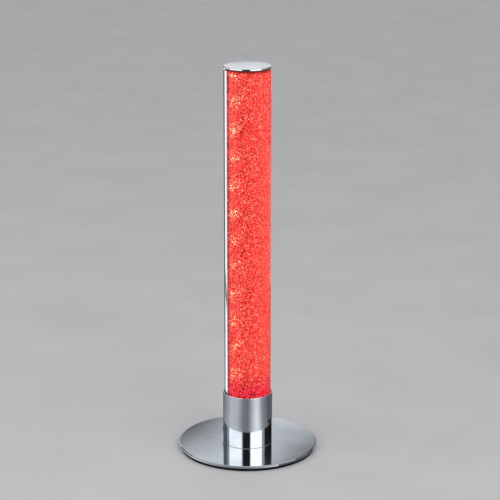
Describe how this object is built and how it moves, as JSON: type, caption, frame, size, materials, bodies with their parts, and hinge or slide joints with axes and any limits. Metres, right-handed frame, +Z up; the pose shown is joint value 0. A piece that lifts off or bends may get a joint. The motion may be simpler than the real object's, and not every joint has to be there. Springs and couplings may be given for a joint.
{
  "type": "column lamp",
  "caption": "Table-size column lamp: a round column with a lit glitter diffuser, polished metal back and cap, standing in a polished collar with a push button on a round plate.",
  "frame": {"origin": "centre of the resting face, under the foot pad", "axes": "+Z up along the column, -Y towards the push button, +Y towards the metal back and the cord gland"},
  "size_m": [0.15, 0.15, 0.422],
  "materials": {
    "chrome_plate": "mirror-polished chrome plate",
    "polished_aluminium": "polished extrusion",
    "clear_acrylic": "clear, smooth and glossy",
    "glitter_film": "fine glitter grains, lit red from behind",
    "black_abs": "moulded, fine matt texture",
    "button_abs": "moulded, satin",
    "foot_eva": "matt foam rubber",
    "grommet_rubber": "soft moulded rubber",
    "zinc_steel": "zinc plated",
    "insert_brass": "turned",
    "white_strip": "white solder mask",
    "green_board": "green solder mask",
    "led_package": "moulded package with a lit lens",
    "thermal_tape": "heat-conducting adhesive tape",
    "black_component": "moulded epoxy",
    "capacitor_can": "drawn can",
    "connector_nylon": "natural nylon",
    "lead_insulation": "PVC insulation"
  },
  "bodies": {
    "lamp": {"base_plate": "chrome_plate", "base_collar": "chrome_plate", "top_cap": "chrome_plate", "back_profile": "polished_aluminium", "diffuser_tube": "clear_acrylic", "glitter_film": "glitter_film", "column_socket": "black_abs", "top_plug": "black_abs", "button_bush": "black_abs", "foot_pad": "foot_eva", "cord_grommet": "grommet_rubber", "base_screws": "zinc_steel", "socket_screws": "zinc_steel", "plug_screws": "zinc_steel", "board_screws": "zinc_steel", "thread_inserts": "insert_brass", "led_board": "white_strip", "control_board": "green_board", "led_chips": "led_package", "led_tape": "thermal_tape", "control_chip": "black_component", "power_inductor": "black_component", "led_resistors": "black_component", "switch_body": "black_component", "smoothing_capacitor": "capacitor_can", "lead_connector": "connector_nylon", "supply_terminal": "connector_nylon", "led_leads": "lead_insulation"},
    "button": {"push_button": "button_abs", "switch_plunger": "button_abs"}
  },
  "joints": [
    {"name": "button_press", "type": "slide", "parent": "lamp", "child": "button", "axis": [0, 1, 0], "range_m": [0, 0.001], "stiffness_N_per_m": 400, "springref_m": -0.001}
  ]
}
